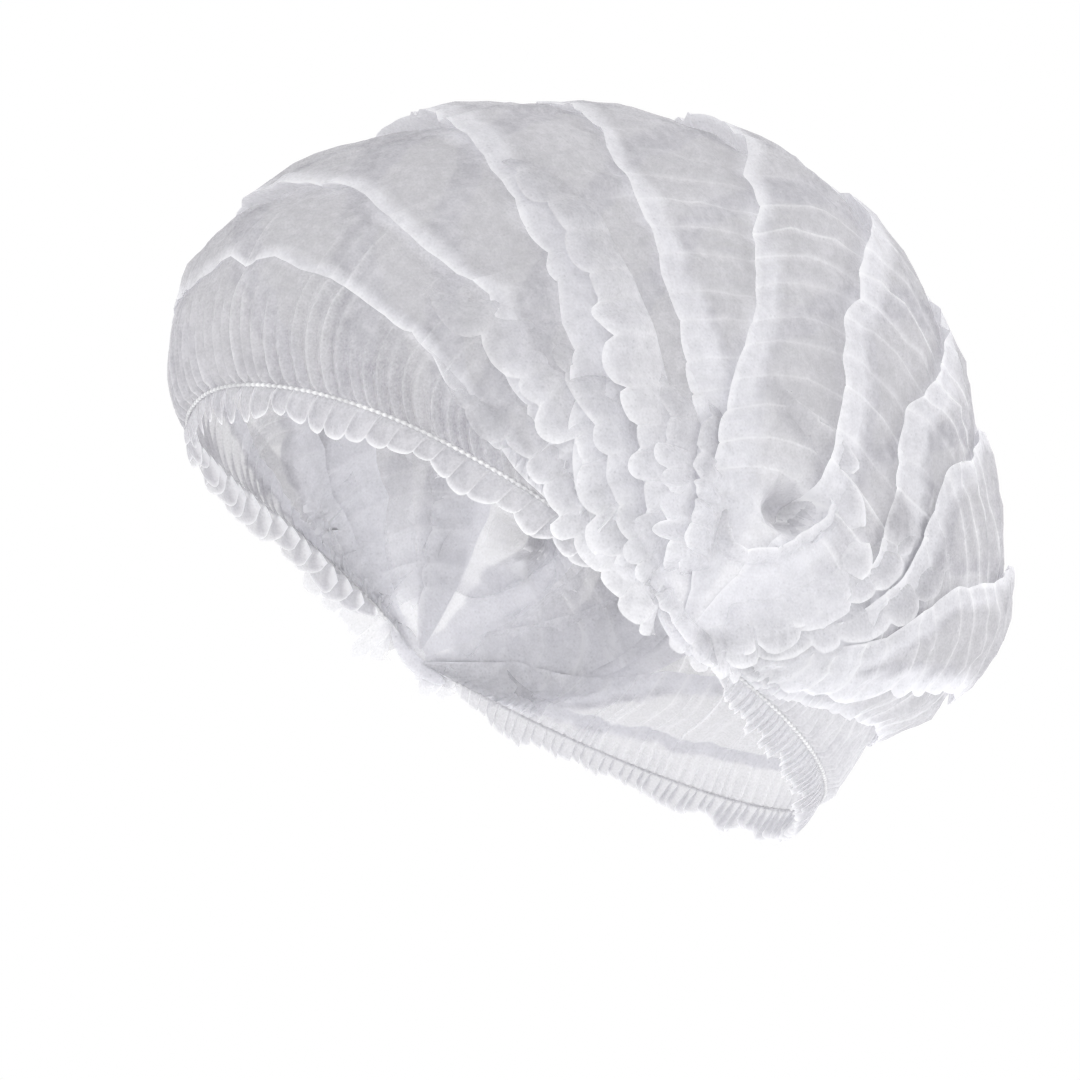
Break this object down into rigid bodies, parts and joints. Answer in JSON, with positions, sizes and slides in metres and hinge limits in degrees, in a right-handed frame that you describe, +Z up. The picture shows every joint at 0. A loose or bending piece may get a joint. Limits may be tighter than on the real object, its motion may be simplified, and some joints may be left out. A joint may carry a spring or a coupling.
{
  "type": "hair_cover_cap",
  "caption": "Disposable hair cover cap in white nonwoven, accordion pleated from ear to ear, gathered by an elastic at the front and nape edges, in the puffed form it has when worn",
  "frame": {"origin": "mount head_seat: where the top of the head touches the inside of the crown, +Z up", "axes": "+Y to the back of the head, along the longest extent; +X to the wearer's left, along the shortest extent; +Z up"},
  "size_m": [0.1683, 0.2427, 0.2059],
  "materials": {
    "nonwoven": "thin see-through spunbond nonwoven, matte, white",
    "elastic": "white covered elastic with fine stitches",
    "sealed": "pleats sealed together into a flat white tab"
  },
  "bodies": {
    "root": {"crown": "nonwoven", "ruffle_front": "nonwoven", "ruffle_back": "nonwoven", "elastic_front": "elastic", "elastic_back": "elastic", "end_weld_left": "sealed", "end_weld_right": "sealed"}
  },
  "joints": []
}
